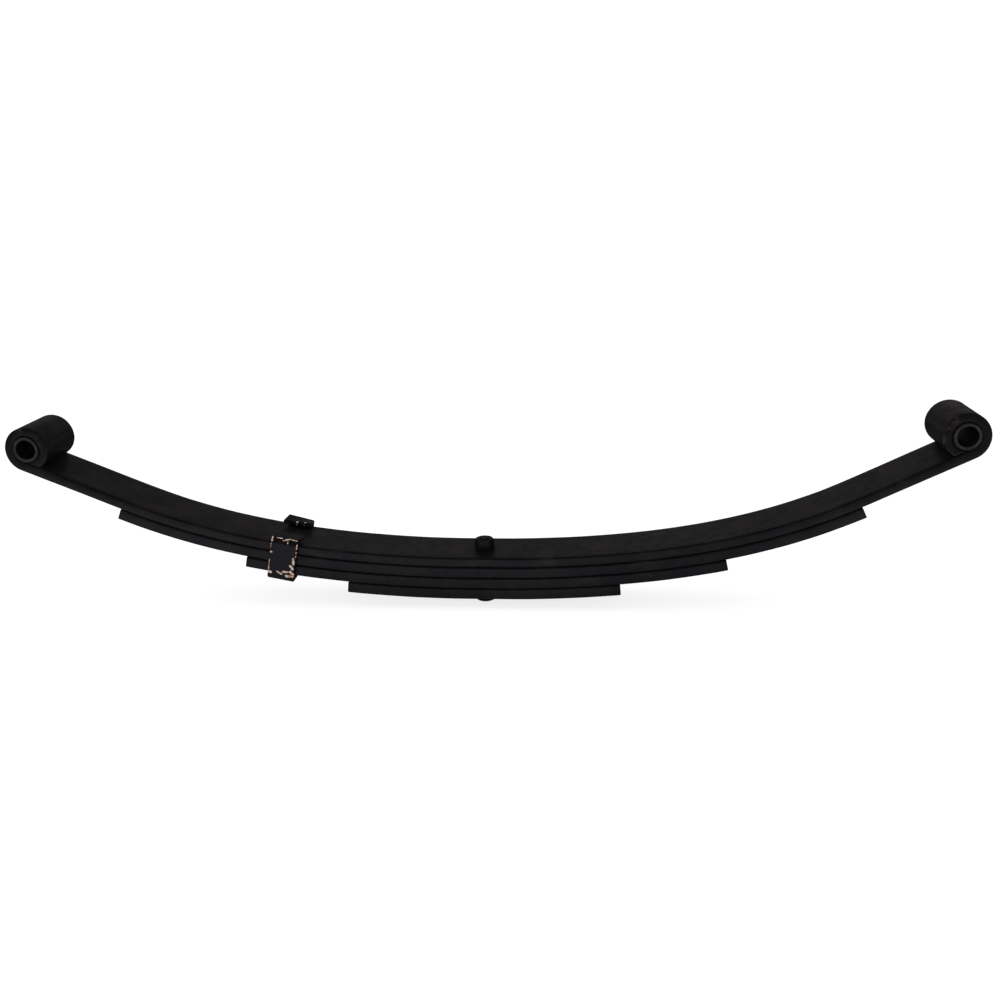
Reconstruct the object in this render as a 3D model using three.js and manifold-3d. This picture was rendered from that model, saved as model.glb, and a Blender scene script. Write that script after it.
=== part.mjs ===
// A four-leaf double-eye trailer spring, in millimetres, +Z up and +X along its length.
// The origin is at the bottom centre of the spring: the lower face of the centre bolt's head.

import * as THREE from 'three';
import { mergeVertices } from 'three/addons/utils/BufferGeometryUtils.js';
import Module from 'manifold-3d';

const wasm = await Module();
wasm.setup();

// Leaves
const LEAF_WIDTH = 44.45;
const MAIN_THICKNESS = 7.2;
const LEAF_THICKNESS = 7.94;
const LEAF_GAP = 0.35;
const EDGE_CHAMFER = 1.6;
const SECOND_REACH = 262.6;
const THIRD_REACH = 171;
const FOURTH_REACH = 97.2;
const HOLE_SEGMENTS = 24;

// Camber of the main leaf's upper face: a flat seat, a parabola, a quartic rise and a straight end
const EYE_REACH = 330.2;
const SEAT_HALF = 24;
const STATION_STEP = 12;
const CAMBER_RISE = 48.1;
const LEFT_ARM = { side: -1, tipRise: 31.7, straightFrom: 258 };
const RIGHT_ARM = { side: 1, tipRise: 41.2, straightFrom: 265 };

// Eyes and bushings
const BUSHING_BORE_RADIUS = 7.14;
const BUSHING_RADIUS = 9.525;
const BUSHING_PROTRUSION = 0.7;
const BUSHING_CHAMFER = 0.5;
const BUSHING_SEGMENTS = 40;
const EYE_GAP = 0.3;
const EYE_WRAP_DEGREES = 302;
const EYE_STEPS = 36;
const ROLL_THINNING = 1.1;
const ROLL_THINNED_FROM_DEGREES = 100;
const WEDGE_START_DEGREES = 296;
const WEDGE_END_DEGREES = 328;
const WEDGE_STEPS = 8;

// Centre bolt and nut
const BOLT_RADIUS = 3.95;
const BOLT_HOLE_RADIUS = 4.4;
const SPOT_FACE_RADIUS = 8;
const SPOT_FACE_DEPTH = 0.15;
const BOLT_END_CHAMFER = 0.8;
const BOLT_STAND_OUT = 0.9;
const HEAD_RADIUS = 7.9;
const HEAD_HEIGHT = 8;
const HEAD_ROUNDING = 2.2;
const HEAD_ROUNDING_STEPS = 3;
const NUT_ACROSS_FLATS = 12.7;
const NUT_HEIGHT = 7.4;
const NUT_BORE_RADIUS = 4.3;
const NUT_CHAMFER = 1;
const SEAT_GAP = 0.3;

// Rebound clip and its rivet
const CLIP_STATION = -145;
const CLIP_LEAN_DEGREES = 1.9;
const CLIP_WIDTH = 19.6;
const CLIP_THICKNESS = 3;
const CLIP_GAP = 0.75;
const CLIP_HEADROOM = 1.7;
const CLIP_FOOTROOM = 1.6;
const CLIP_BEND_RADIUS = 4.2;
const CLIP_TAB_LENGTH = 13.5;
const RIVET_RADIUS = 3;
const RIVET_HOLE_RADIUS = 3.4;
const RIVET_HEAD_RADIUS = 6.2;
const RIVET_HEAD_HEIGHT = 3.4;
const RIVET_END_GAP = 0.1;

// Depth of each leaf's upper face below the main leaf's upper face, measured square to the leaves
const SECOND_DEPTH = MAIN_THICKNESS + LEAF_GAP;
const LEAF_PITCH = LEAF_THICKNESS + LEAF_GAP;
const THIRD_DEPTH = SECOND_DEPTH + LEAF_PITCH;
const FOURTH_DEPTH = THIRD_DEPTH + LEAF_PITCH;
const STACK_DEPTH = FOURTH_DEPTH + LEAF_THICKNESS;
const EYE_BORE_RADIUS = BUSHING_RADIUS + EYE_GAP;

const black = (roughness) => new THREE.MeshStandardMaterial({ color: '#201f20', roughness, metalness: 0.1 });

function makePiece(name, geometry, material) {
  const mesh = new THREE.Mesh(geometry, material);
  mesh.name = name;
  return mesh;
}

function toSolid(geometry) {
  const plain = geometry.clone();
  plain.deleteAttribute('normal');
  plain.deleteAttribute('uv');
  const merged = mergeVertices(plain, 1e-5);
  const vertProperties = new Float32Array(merged.attributes.position.array);
  const triVerts = new Uint32Array(merged.index.array);
  return new wasm.Manifold(new wasm.Mesh({ numProp: 3, vertProperties, triVerts }));
}

function toGeometry(solid) {
  const { vertProperties, triVerts } = solid.getMesh();
  const geometry = new THREE.BufferGeometry();
  geometry.setAttribute('position', new THREE.BufferAttribute(vertProperties, 3));
  geometry.setIndex(new THREE.BufferAttribute(triVerts, 1));
  geometry.computeVertexNormals();
  return geometry;
}

// Stretches an outline drawn in X and Z across the width of a leaf, with its long edges chamfered if wanted.
function extrudeAcross(outline, width, chamfer) {
  const geometry = new THREE.ExtrudeGeometry(new THREE.Shape(outline), {
    depth: width - 2 * chamfer,
    bevelEnabled: chamfer > 0,
    bevelThickness: chamfer,
    bevelSize: chamfer,
    bevelOffset: -chamfer,
    bevelSegments: 1,
  });
  geometry.translate(0, 0, chamfer - width / 2);
  return geometry.rotateX(Math.PI / 2);
}

function armAt(x) {
  return x < 0 ? LEFT_ARM : RIGHT_ARM;
}

// Height and slope of the main leaf's upper face at x, with the seat at height 0.
function camberAt(x) {
  const arm = armAt(x);
  const reach = Math.abs(x);
  const bent = THREE.MathUtils.clamp(reach, SEAT_HALF, arm.straightFrom);
  const rise = (u) => CAMBER_RISE * (u / EYE_REACH) ** 2 + arm.tipRise * (u / EYE_REACH) ** 4;
  const bowSlope = (2 * CAMBER_RISE * bent) / EYE_REACH ** 2;
  const tipSlope = (4 * arm.tipRise * bent ** 3) / EYE_REACH ** 4;
  const steepness = bowSlope + tipSlope;
  const straight = Math.max(reach - arm.straightFrom, 0);
  return { height: rise(bent) - rise(SEAT_HALF) + steepness * straight, slope: arm.side * steepness };
}

// The point at a depth under the main leaf's upper face, measured square to the leaf.
function pointUnder(x, depth) {
  const { height, slope } = camberAt(x);
  const angle = Math.atan(slope);
  return new THREE.Vector2(x + depth * Math.sin(angle), height - depth * Math.cos(angle));
}

// Stations along one arm, from the edge of the seat out to its reach.
function armStations(arm, reach) {
  const bentReach = Math.min(reach, arm.straightFrom);
  const stations = [];
  for (let x = SEAT_HALF; x < bentReach - STATION_STEP / 2; x += STATION_STEP) {
    stations.push(arm.side * x);
  }
  stations.push(arm.side * bentReach);
  if (reach > bentReach) {
    stations.push(arm.side * reach);
  }
  return stations;
}

function faceUnder(leftReach, rightReach, depth) {
  const stations = [...armStations(LEFT_ARM, leftReach).reverse(), ...armStations(RIGHT_ARM, rightReach)];
  return stations.map((x) => pointUnder(x, depth));
}

// The bolt hole through the whole pack, with a shallow spot face under the nut and under the head.
function boltDrill() {
  const bottom = -STACK_DEPTH;
  return new THREE.LatheGeometry([
    new THREE.Vector2(0, bottom - 1),
    new THREE.Vector2(SPOT_FACE_RADIUS, bottom - 1),
    new THREE.Vector2(SPOT_FACE_RADIUS, bottom + SPOT_FACE_DEPTH),
    new THREE.Vector2(BOLT_HOLE_RADIUS, bottom + SPOT_FACE_DEPTH),
    new THREE.Vector2(BOLT_HOLE_RADIUS, -SPOT_FACE_DEPTH),
    new THREE.Vector2(SPOT_FACE_RADIUS, -SPOT_FACE_DEPTH),
    new THREE.Vector2(SPOT_FACE_RADIUS, 1),
    new THREE.Vector2(0, 1),
  ], HOLE_SEGMENTS).rotateX(Math.PI / 2);
}

function drillForBolt(geometry) {
  return toSolid(geometry).subtract(toSolid(boltDrill()));
}

function plainLeaf(reach, depth) {
  const outline = [
    ...faceUnder(reach, reach, depth + LEAF_THICKNESS),
    ...faceUnder(reach, reach, depth).reverse(),
  ];
  return drillForBolt(extrudeAcross(outline, LEAF_WIDTH, EDGE_CHAMFER));
}

// An eye stands on the straight end of its arm; its centre is square above the point where the roll starts.
function eyeFrame(arm) {
  const angle = Math.atan(Math.abs(camberAt(arm.side * arm.straightFrom).slope));
  const along = new THREE.Vector2(arm.side * Math.cos(angle), Math.sin(angle));
  const upward = new THREE.Vector2(-arm.side * Math.sin(angle), Math.cos(angle));
  const rollStart = EYE_REACH + EYE_BORE_RADIUS * Math.sin(angle);
  const centre = pointUnder(arm.side * rollStart, 0).addScaledVector(upward, EYE_BORE_RADIUS);
  return { along, upward, rollStart, centre };
}

// The outer radius of a roll, which gets thinner on its way up from the arm.
function rollRadius(degrees) {
  const thinned = THREE.MathUtils.smoothstep(degrees, 0, ROLL_THINNED_FROM_DEGREES);
  return EYE_BORE_RADIUS + MAIN_THICKNESS - ROLL_THINNING * thinned;
}

// The roll of an eye, from the arm out, over the top and back down to the arm.
function rollPoints(eye, radiusAt) {
  const points = [];
  for (let i = 1; i <= EYE_STEPS; i += 1) {
    const degrees = (EYE_WRAP_DEGREES * i) / EYE_STEPS;
    const turn = THREE.MathUtils.degToRad(degrees);
    const radius = radiusAt(degrees);
    const point = eye.centre.clone();
    point.addScaledVector(eye.along, radius * Math.sin(turn));
    point.addScaledVector(eye.upward, -radius * Math.cos(turn));
    points.push(point);
  }
  return points;
}

// The rolled end is thinned to a wedge that closes the space between the bushing and the arm.
function rollWedge(eye) {
  const outer = [];
  const inner = [];
  for (let i = 0; i <= WEDGE_STEPS; i += 1) {
    const degrees = THREE.MathUtils.lerp(WEDGE_START_DEGREES, WEDGE_END_DEGREES, i / WEDGE_STEPS);
    const turn = THREE.MathUtils.degToRad(degrees);
    const outward = eye.along.clone().multiplyScalar(Math.sin(turn));
    outward.addScaledVector(eye.upward, -Math.cos(turn));
    const toArm = (EYE_BORE_RADIUS - EYE_GAP) / Math.cos(turn);
    const reach = Math.min(rollRadius(degrees), toArm);
    outer.push(eye.centre.clone().addScaledVector(outward, reach));
    inner.push(eye.centre.clone().addScaledVector(outward, EYE_BORE_RADIUS));
  }
  return toSolid(extrudeAcross([...outer, ...inner.reverse()], LEAF_WIDTH - 2 * EDGE_CHAMFER, 0));
}

function mainLeaf() {
  const left = eyeFrame(LEFT_ARM);
  const right = eyeFrame(RIGHT_ARM);
  const boreRadius = () => EYE_BORE_RADIUS;
  const outline = [
    ...rollPoints(left, rollRadius).reverse(),
    ...faceUnder(left.rollStart, right.rollStart, MAIN_THICKNESS),
    ...rollPoints(right, rollRadius),
    ...rollPoints(right, boreRadius).reverse(),
    ...faceUnder(left.rollStart, right.rollStart, 0).reverse(),
    ...rollPoints(left, boreRadius),
  ];
  const leaf = drillForBolt(extrudeAcross(outline, LEAF_WIDTH, EDGE_CHAMFER));
  return toGeometry(leaf.add(rollWedge(left)).add(rollWedge(right)));
}

function bushing(eye) {
  const half = LEAF_WIDTH / 2 + BUSHING_PROTRUSION;
  const section = [
    new THREE.Vector2(BUSHING_BORE_RADIUS, -half),
    new THREE.Vector2(BUSHING_RADIUS - BUSHING_CHAMFER, -half),
    new THREE.Vector2(BUSHING_RADIUS, -half + BUSHING_CHAMFER),
    new THREE.Vector2(BUSHING_RADIUS, half - BUSHING_CHAMFER),
    new THREE.Vector2(BUSHING_RADIUS - BUSHING_CHAMFER, half),
    new THREE.Vector2(BUSHING_BORE_RADIUS, half),
    new THREE.Vector2(BUSHING_BORE_RADIUS, -half),
  ];
  const geometry = new THREE.LatheGeometry(section, BUSHING_SEGMENTS);
  return geometry.translate(eye.centre.x, 0, eye.centre.y);
}

function centreBolt() {
  const underHead = -STACK_DEPTH - SEAT_GAP;
  const end = SEAT_GAP + NUT_HEIGHT + BOLT_STAND_OUT;
  const section = [new THREE.Vector2(0, underHead - HEAD_HEIGHT)];
  for (let i = 0; i <= HEAD_ROUNDING_STEPS; i += 1) {
    const turn = (i * Math.PI) / (2 * HEAD_ROUNDING_STEPS);
    const radius = HEAD_RADIUS - HEAD_ROUNDING * (1 - Math.sin(turn));
    section.push(new THREE.Vector2(radius, underHead - HEAD_HEIGHT + HEAD_ROUNDING * (1 - Math.cos(turn))));
  }
  section.push(new THREE.Vector2(HEAD_RADIUS, underHead));
  section.push(new THREE.Vector2(BOLT_RADIUS, underHead));
  section.push(new THREE.Vector2(BOLT_RADIUS, end - BOLT_END_CHAMFER));
  section.push(new THREE.Vector2(BOLT_RADIUS - BOLT_END_CHAMFER, end));
  section.push(new THREE.Vector2(0, end));
  return new THREE.LatheGeometry(section, HOLE_SEGMENTS).rotateX(Math.PI / 2);
}

function centreNut() {
  const cornerRadius = NUT_ACROSS_FLATS / Math.sqrt(3);
  const blank = new THREE.CylinderGeometry(cornerRadius, cornerRadius, NUT_HEIGHT, 6);
  const turned = new THREE.LatheGeometry([
    new THREE.Vector2(0, -NUT_HEIGHT / 2),
    new THREE.Vector2(NUT_ACROSS_FLATS / 2, -NUT_HEIGHT / 2),
    new THREE.Vector2(NUT_ACROSS_FLATS / 2 + 2 * NUT_CHAMFER, NUT_CHAMFER - NUT_HEIGHT / 2),
    new THREE.Vector2(NUT_ACROSS_FLATS / 2 + 2 * NUT_CHAMFER, NUT_HEIGHT / 2 - NUT_CHAMFER),
    new THREE.Vector2(NUT_ACROSS_FLATS / 2, NUT_HEIGHT / 2),
    new THREE.Vector2(0, NUT_HEIGHT / 2),
  ], HOLE_SEGMENTS);
  const bore = new THREE.CylinderGeometry(NUT_BORE_RADIUS, NUT_BORE_RADIUS, 2 * NUT_HEIGHT, HOLE_SEGMENTS);
  const nut = toSolid(blank).intersect(toSolid(turned)).subtract(toSolid(bore));
  return toGeometry(nut)
    .rotateX(Math.PI / 2)
    .rotateZ(Math.PI / 6)
    .translate(0, 0, SEAT_GAP + NUT_HEIGHT / 2);
}

// Section of the clip across the leaves: a strap under the third leaf, two sides and two tabs bent over.
function clipSection() {
  const inner = LEAF_WIDTH / 2 + CLIP_GAP;
  const outer = inner + CLIP_THICKNESS;
  const floor = -(THIRD_DEPTH + LEAF_THICKNESS + CLIP_FOOTROOM);
  const base = floor - CLIP_THICKNESS;
  const roof = CLIP_HEADROOM + CLIP_THICKNESS;
  const bend = CLIP_BEND_RADIUS;
  const tabEnd = outer - CLIP_TAB_LENGTH;
  const section = new THREE.Shape();
  section.moveTo(tabEnd, CLIP_HEADROOM);
  section.lineTo(inner, CLIP_HEADROOM);
  section.lineTo(inner, floor);
  section.lineTo(-inner, floor);
  section.lineTo(-inner, CLIP_HEADROOM);
  section.lineTo(-tabEnd, CLIP_HEADROOM);
  section.lineTo(-tabEnd, roof);
  section.absarc(bend - outer, roof - bend, bend, Math.PI / 2, Math.PI, false);
  section.absarc(bend - outer, base + bend, bend, Math.PI, 1.5 * Math.PI, false);
  section.absarc(outer - bend, base + bend, bend, 1.5 * Math.PI, 2 * Math.PI, false);
  section.absarc(outer - bend, roof - bend, bend, 0, Math.PI / 2, false);
  section.lineTo(tabEnd, roof);
  return section;
}

// The hole through the third leaf and the strap, as a round cutter that reaches past both.
function rivetDrill() {
  const length = 2 * LEAF_PITCH + 2 * CLIP_THICKNESS;
  const drill = new THREE.CylinderGeometry(RIVET_HOLE_RADIUS, RIVET_HOLE_RADIUS, length, HOLE_SEGMENTS);
  return drill.rotateX(Math.PI / 2).translate(0, 0, -FOURTH_DEPTH);
}

function reboundClip() {
  const geometry = new THREE.ExtrudeGeometry(clipSection(), {
    depth: CLIP_WIDTH,
    bevelEnabled: false,
    curveSegments: 5,
  });
  geometry.translate(0, 0, -CLIP_WIDTH / 2);
  geometry.rotateX(Math.PI / 2).rotateZ(Math.PI / 2);
  return toGeometry(toSolid(geometry).subtract(toSolid(rivetDrill())));
}

function clipRivet() {
  const strapBase = -(THIRD_DEPTH + LEAF_THICKNESS + CLIP_FOOTROOM + CLIP_THICKNESS + SEAT_GAP);
  const top = -THIRD_DEPTH - RIVET_END_GAP;
  const section = [];
  for (let i = 0; i <= 5; i += 1) {
    const turn = (i * Math.PI) / 10;
    const radius = RIVET_HEAD_RADIUS * Math.sin(turn);
    section.push(new THREE.Vector2(radius, strapBase - RIVET_HEAD_HEIGHT * Math.cos(turn)));
  }
  section.push(new THREE.Vector2(RIVET_RADIUS, strapBase));
  section.push(new THREE.Vector2(RIVET_RADIUS, top));
  section.push(new THREE.Vector2(0, top));
  return new THREE.LatheGeometry(section, HOLE_SEGMENTS).rotateX(Math.PI / 2);
}

// Turns a piece drawn at the seat onto the leaves at the clip, leaning a little towards the middle.
function clipPlacement() {
  const { slope } = camberAt(CLIP_STATION);
  const lean = THREE.MathUtils.degToRad(CLIP_LEAN_DEGREES);
  const depth = THIRD_DEPTH + LEAF_THICKNESS;
  const pivot = pointUnder(CLIP_STATION, depth);
  const placement = new THREE.Matrix4().makeRotationY(lean - Math.atan(slope));
  const hung = new THREE.Vector3(0, 0, -depth).applyMatrix4(placement);
  return placement.setPosition(pivot.x - hung.x, 0, pivot.y - hung.z);
}

function thirdLeaf() {
  const drill = toSolid(rivetDrill().applyMatrix4(clipPlacement()));
  return toGeometry(plainLeaf(THIRD_REACH, THIRD_DEPTH).subtract(drill));
}

const leafPaint = black(0.45);
const clipPaint = black(0.5);
const fastenerPaint = black(0.4);
const bushingMetal = new THREE.MeshStandardMaterial({ color: '#7a6c55', roughness: 0.45, metalness: 0.6 });

const spring = new THREE.Group();
spring.position.z = STACK_DEPTH + SEAT_GAP + HEAD_HEIGHT;

spring.add(makePiece('main_leaf', mainLeaf(), leafPaint));
spring.add(makePiece('second_leaf', toGeometry(plainLeaf(SECOND_REACH, SECOND_DEPTH)), leafPaint));
spring.add(makePiece('third_leaf', thirdLeaf(), leafPaint));
spring.add(makePiece('fourth_leaf', toGeometry(plainLeaf(FOURTH_REACH, FOURTH_DEPTH)), leafPaint));
spring.add(makePiece('center_bolt', centreBolt(), fastenerPaint));
spring.add(makePiece('center_nut', centreNut(), fastenerPaint));
spring.add(makePiece('left_bushing', bushing(eyeFrame(LEFT_ARM)), bushingMetal));
spring.add(makePiece('right_bushing', bushing(eyeFrame(RIGHT_ARM)), bushingMetal));

const clipGroup = new THREE.Group();
clipGroup.applyMatrix4(clipPlacement());
clipGroup.add(makePiece('rebound_clip', reboundClip(), clipPaint));
clipGroup.add(makePiece('clip_rivet', clipRivet(), fastenerPaint));
spring.add(clipGroup);

export default spring;
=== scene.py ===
import math

import bmesh
import bpy
import numpy as np
from mathutils import Matrix, Vector, noise


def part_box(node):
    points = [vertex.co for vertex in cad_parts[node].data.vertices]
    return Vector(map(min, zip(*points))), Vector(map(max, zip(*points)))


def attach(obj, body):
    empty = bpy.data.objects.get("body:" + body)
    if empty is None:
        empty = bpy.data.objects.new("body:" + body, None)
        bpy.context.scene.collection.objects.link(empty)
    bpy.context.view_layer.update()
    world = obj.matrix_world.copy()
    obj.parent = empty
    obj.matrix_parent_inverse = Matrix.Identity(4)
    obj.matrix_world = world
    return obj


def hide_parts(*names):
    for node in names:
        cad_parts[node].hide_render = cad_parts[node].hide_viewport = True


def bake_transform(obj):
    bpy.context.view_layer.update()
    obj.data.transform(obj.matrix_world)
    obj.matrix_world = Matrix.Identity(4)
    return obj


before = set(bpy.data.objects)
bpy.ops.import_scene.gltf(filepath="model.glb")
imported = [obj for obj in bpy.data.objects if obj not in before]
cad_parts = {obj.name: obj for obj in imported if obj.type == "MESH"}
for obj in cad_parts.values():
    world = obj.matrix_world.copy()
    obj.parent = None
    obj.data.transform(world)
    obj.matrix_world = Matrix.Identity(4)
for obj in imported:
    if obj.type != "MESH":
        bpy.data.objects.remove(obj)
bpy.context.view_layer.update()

# A four-leaf double-eye trailer spring. Everything is in metres, in the frame of the CAD model:
# +X along the spring, +Y across the leaves, +Z up, origin at the bottom of the centre bolt's head.
MM = 0.001
ACROSS = Vector((0, 1, 0))
UP = Vector((0, 0, 1))

# ---------------------------------------------------------------- sizes

nut_lo, nut_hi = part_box("center_nut")
bolt_lo, bolt_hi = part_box("center_bolt")
leaf_lo, leaf_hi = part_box("main_leaf")
eye_boxes = {-1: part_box("left_bushing"), 1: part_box("right_bushing")}

SEAT_GAP = 0.3 * MM
SEAT_TOP = nut_lo.z - SEAT_GAP
LEAF_WIDTH = leaf_hi.y - leaf_lo.y
EYE_REACH = (eye_boxes[1][0].x + eye_boxes[1][1].x) / 2
BUSHING_RADIUS = (eye_boxes[1][1].x - eye_boxes[1][0].x) / 2
BUSHING_LENGTH = eye_boxes[1][1].y - eye_boxes[1][0].y
BUSHING_BORE_RADIUS = 7.14 * MM
BUSHING_PAINT_LAP = 8.7 * MM
EYE_GAP = 0.3 * MM
EYE_BORE_RADIUS = BUSHING_RADIUS + EYE_GAP
# The CAD model's gaps are nearly closed here: round the bushings, and above each leaf but the main one
PRESS_FIT_GAP = 0.04 * MM
LEAF_SQUEEZE = 0.27 * MM

MAIN_THICKNESS = 7.2 * MM
LEAF_THICKNESS = 7.94 * MM
LEAF_GAP = 0.35 * MM
LEAF_PITCH = LEAF_THICKNESS + LEAF_GAP
SECOND_DEPTH = MAIN_THICKNESS + LEAF_GAP
THIRD_DEPTH = SECOND_DEPTH + LEAF_PITCH
FOURTH_DEPTH = THIRD_DEPTH + LEAF_PITCH
EDGE_RADIUS = 1.3 * MM
EYE_EDGE_RADIUS = 1.1 * MM
LEAST_EDGE_RADIUS = 0.1 * MM
END_ROUNDING = 0.7 * MM
END_STEPS = 5
LEAF_STEP = 3 * MM
LEAF_FLAT_STEPS = 12

# Rolled steel is a little uneven: the lengths of its waves, and how high they are
LONG_WAVE = 26 * MM
SHORT_WAVE = 9 * MM
LEAF_UNEVENNESS = 0.09 * MM
CLIP_UNEVENNESS = 0.1 * MM
LEAF_SEED = 3
CLIP_SEED = 11

# The camber law of the main leaf's upper face, as in the CAD model
SEAT_HALF = 24 * MM
CAMBER_RISE = 48.1 * MM
TIP_RISE = {-1: 31.7 * MM, 1: 41.2 * MM}
STRAIGHT_FROM = {-1: 258 * MM, 1: 265 * MM}
STRAIGHT_STATION = 310 * MM
CAMBER_STEP = 1 * MM
CAMBER_STEPS = 420
EASING_STEPS = 24
EASING_SPREAD = 7.0

# Each eye is rolled from the arm out and over the top, thins on the way, and ends as a wedge against the arm
EYE_WRAP = math.radians(328)
ROLL_STEPS = 120
ROLL_THINNING = 1.1 * MM
ROLL_THINNED_FROM = math.radians(100)
EYE_EDGE_FROM = math.radians(50)
WEDGE_FROM = math.radians(290)

# The body that each end's bushing rides on, and the name of each side
END_BODY = {-1: "left_end", 1: "right_end"}
SIDE_NAME = {-1: "left", 1: "right"}

# Rusty streaks on the near rims of the eyes, which also paint highlights there, in mm from the eye's centre:
# two ends and a half width
EYE_RUST_AND_HIGHLIGHT_STREAKS = {
    -1: [
        ((-4.5, 14.5), (-2.0, 15.0), 0.8),
        ((5.5, 11.0), (7.5, 8.5), 0.9),
        ((8.5, 6.5), (10.0, 3.0), 0.7),
    ],
    1: [
        ((-15.5, -6.0), (-15.0, 2.0), 0.8),
        ((-14.5, 4.5), (-8.0, 12.5), 0.9),
        ((13.5, -3.5), (13.5, -5.0), 0.8),
    ],
}
STREAK_WEAR_AND_HIGHLIGHT = 0.2
STREAK_RUST_AND_HIGHLIGHT = 1.3
# The crest of each rim lies at this share of the roll's thickness, and fades out over the other; the rusty
# tint and rubbed paint along it are a painted highlight of the rounded rim
CREST_AT = 0.45
CREST_FADE = 0.35
CREST_HIGHLIGHT_WEAR = 0.1
CREST_HIGHLIGHT_RUST = 0.6
RUST_PATCH = 6 * MM
RUST_SEED = 31
TOP_RUST = {-1: 0.4, 1: 1.4}
TOP_RUST_NEAR = 0.25
TOP_RUST_FURTHER = 0.5
# Where the rim starts, as a share of the leaf's width, and how far outside the roll still counts as the roll
RIM_FROM = 0.45
ROLL_MARGIN = 0.2 * MAIN_THICKNESS

CLIP_STATION = -145 * MM
CLIP_LEAN = math.radians(1.9)
CLIP_WIDTH = 19.6 * MM
CLIP_THICKNESS = 3 * MM
CLIP_GAP = 0.75 * MM
CLIP_HEADROOM = 1.7 * MM
CLIP_FAR_LIFT = 0.8 * MM
CLIP_FOOTROOM = 1.6 * MM
CLIP_INNER_BEND = 1.2 * MM
CLIP_TAB = 13.5 * MM
CLIP_NEAR_FLARE = 3.4 * MM
CLIP_FAR_FLARE = 2.6 * MM
CLIP_FAR_TILT = 0.07
CLIP_FAR_UNTILT = 1.6
CLIP_EDGE_RADIUS = 0.7 * MM
CLIP_BEND = CLIP_INNER_BEND + CLIP_THICKNESS
CLIP_STEP = 0.7 * MM
CLIP_BEND_STEPS = 8
CLIP_FLAT_STEPS = 48
CLIP_END_STEPS = 4
STRAP_DEPTH = THIRD_DEPTH + LEAF_THICKNESS
STRAP_BOTTOM = -(STRAP_DEPTH + CLIP_FOOTROOM + CLIP_THICKNESS)

# Chipped paint on the near side of the clip, in mm along the strap's width and up its outer face, which is
# unrolled over the bends: the two ends of each patch, its half width, and how much of its paint is gone
CLIP_CHIPS = [
    ((-9.5, 5.5), (-9.0, 2.0), 0.8, 1.0),
    ((-6.5, 5.0), (-2.0, 5.5), 0.5, 1.0),
    ((-1.0, 3.5), (3.5, 6.0), 0.6, 1.2),
    ((3.5, 6.0), (8.5, 5.5), 0.6, 1.2),
    ((2.5, 3.5), (2.5, 2.0), 0.5, 1.0),
    ((-9.5, 0.0), (-9.5, -3.0), 0.5, 1.0),
    ((-9.5, -6.5), (-8.5, -6.5), 0.8, 1.2),
    ((-9.5, -13.0), (-9.5, -20.0), 0.6, 1.0),
    ((-9.5, -22.0), (-7.5, -22.5), 1.3, 1.2),
    ((-2.5, -21.0), (0.5, -22.5), 0.8, 1.1),
    ((1.5, -20.5), (5.0, -20.0), 0.9, 1.2),
    ((4.0, -23.5), (9.0, -23.0), 1.1, 1.2),
    ((9.5, 2.5), (9.5, -1.0), 0.5, 1.1),
    ((9.5, -3.5), (9.5, -4.5), 0.5, 1.0),
    ((9.5, -6.5), (9.5, -7.5), 0.5, 1.0),
    ((8.0, -9.0), (8.5, -13.0), 1.0, 1.1),
    ((6.5, -15.0), (8.5, -17.0), 1.2, 1.1),
    ((7.0, -19.5), (9.0, -21.0), 1.3, 1.1),
]
# The same on the far tab, in mm along the strap's width and across the leaves
CLIP_TAB_CHIPS = [((-1.0, 12.0), (0.0, 12.0), 0.5), ((5.0, 12.0), (6.0, 12.5), 0.5)]
CHIP_SPREAD = 0.8
TAB_CHIP_WEAR = 0.68
CHIP_RUST_SHARE = 0.7
# Thin paint along the strap's edges
CLIP_RIM = 1.6 * MM
CLIP_RIM_WEAR = 0.12
CLIP_HIDDEN_RIM_WEAR = 0.1
CLIP_RIM_RUST = 0.25

HEAD_RADIUS = (bolt_hi.x - bolt_lo.x) / 2
HEAD_HEIGHT = 8 * MM
HEAD_ROUNDING = 2.2 * MM
HEAD_UPPER_ROUNDING = 0.4 * MM
BOLT_RADIUS = 3.95 * MM
BOLT_TIP = 0.9 * MM
BOLT_TIP_TAPER = 0.8
THREAD_PITCH = 1.06 * MM
THREAD_DEPTH = 0.45 * MM
THREAD_BELOW_SEAT = 4 * MM
THREAD_STEP = 0.09 * MM
NUT_FLATS = nut_hi.y - nut_lo.y
NUT_BORE_RADIUS = 4.05 * MM
NUT_MOUTH_DEPTH = 0.4 * MM
NUT_MOUTH_WIDTH = 0.5 * MM
NUT_CHAMFER = math.radians(30)
NUT_CHAMFER_INSET = 0.03
NUT_LEVELS = 24
NUT_SOFTNESS = 0.12 * MM
BUSHING_EDGE_RADIUS = 0.4 * MM
PAINT_LAP_STEP = 0.1 * MM
RIVET_RADIUS = 3 * MM
RIVET_HEAD_RADIUS = 6.2 * MM
RIVET_HEAD_HEIGHT = 3.4 * MM
RIVET_END_GAP = 0.1 * MM
# The smallest ring of a turned piece, which a fan of faces closes
AXIS_RADIUS = 0.05 * MM

# ---------------------------------------------------------------- colours and light

RUST_FILM = (0.030, 0.019, 0.015)
DUST_FILM = (0.0088, 0.0068, 0.0062)
CHIP_EDGE = (0.10, 0.035, 0.015)
CHIP_RUST = (0.26, 0.12, 0.06)
CHIP_TAN = (0.30, 0.22, 0.16)
CHIP_PRIMER = (0.44, 0.40, 0.36)
BRONZE_STOPS = [(0.32, (0.012, 0.011, 0.008)), (0.5, (0.022, 0.020, 0.015)), (0.68, (0.046, 0.040, 0.031))]
# Near black: painted shade in the bushings' bores, and the tone of the paint lapped over their ends
BORE_SHADE_AND_LAP_PAINT = (0.004, 0.0036, 0.003)

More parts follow.
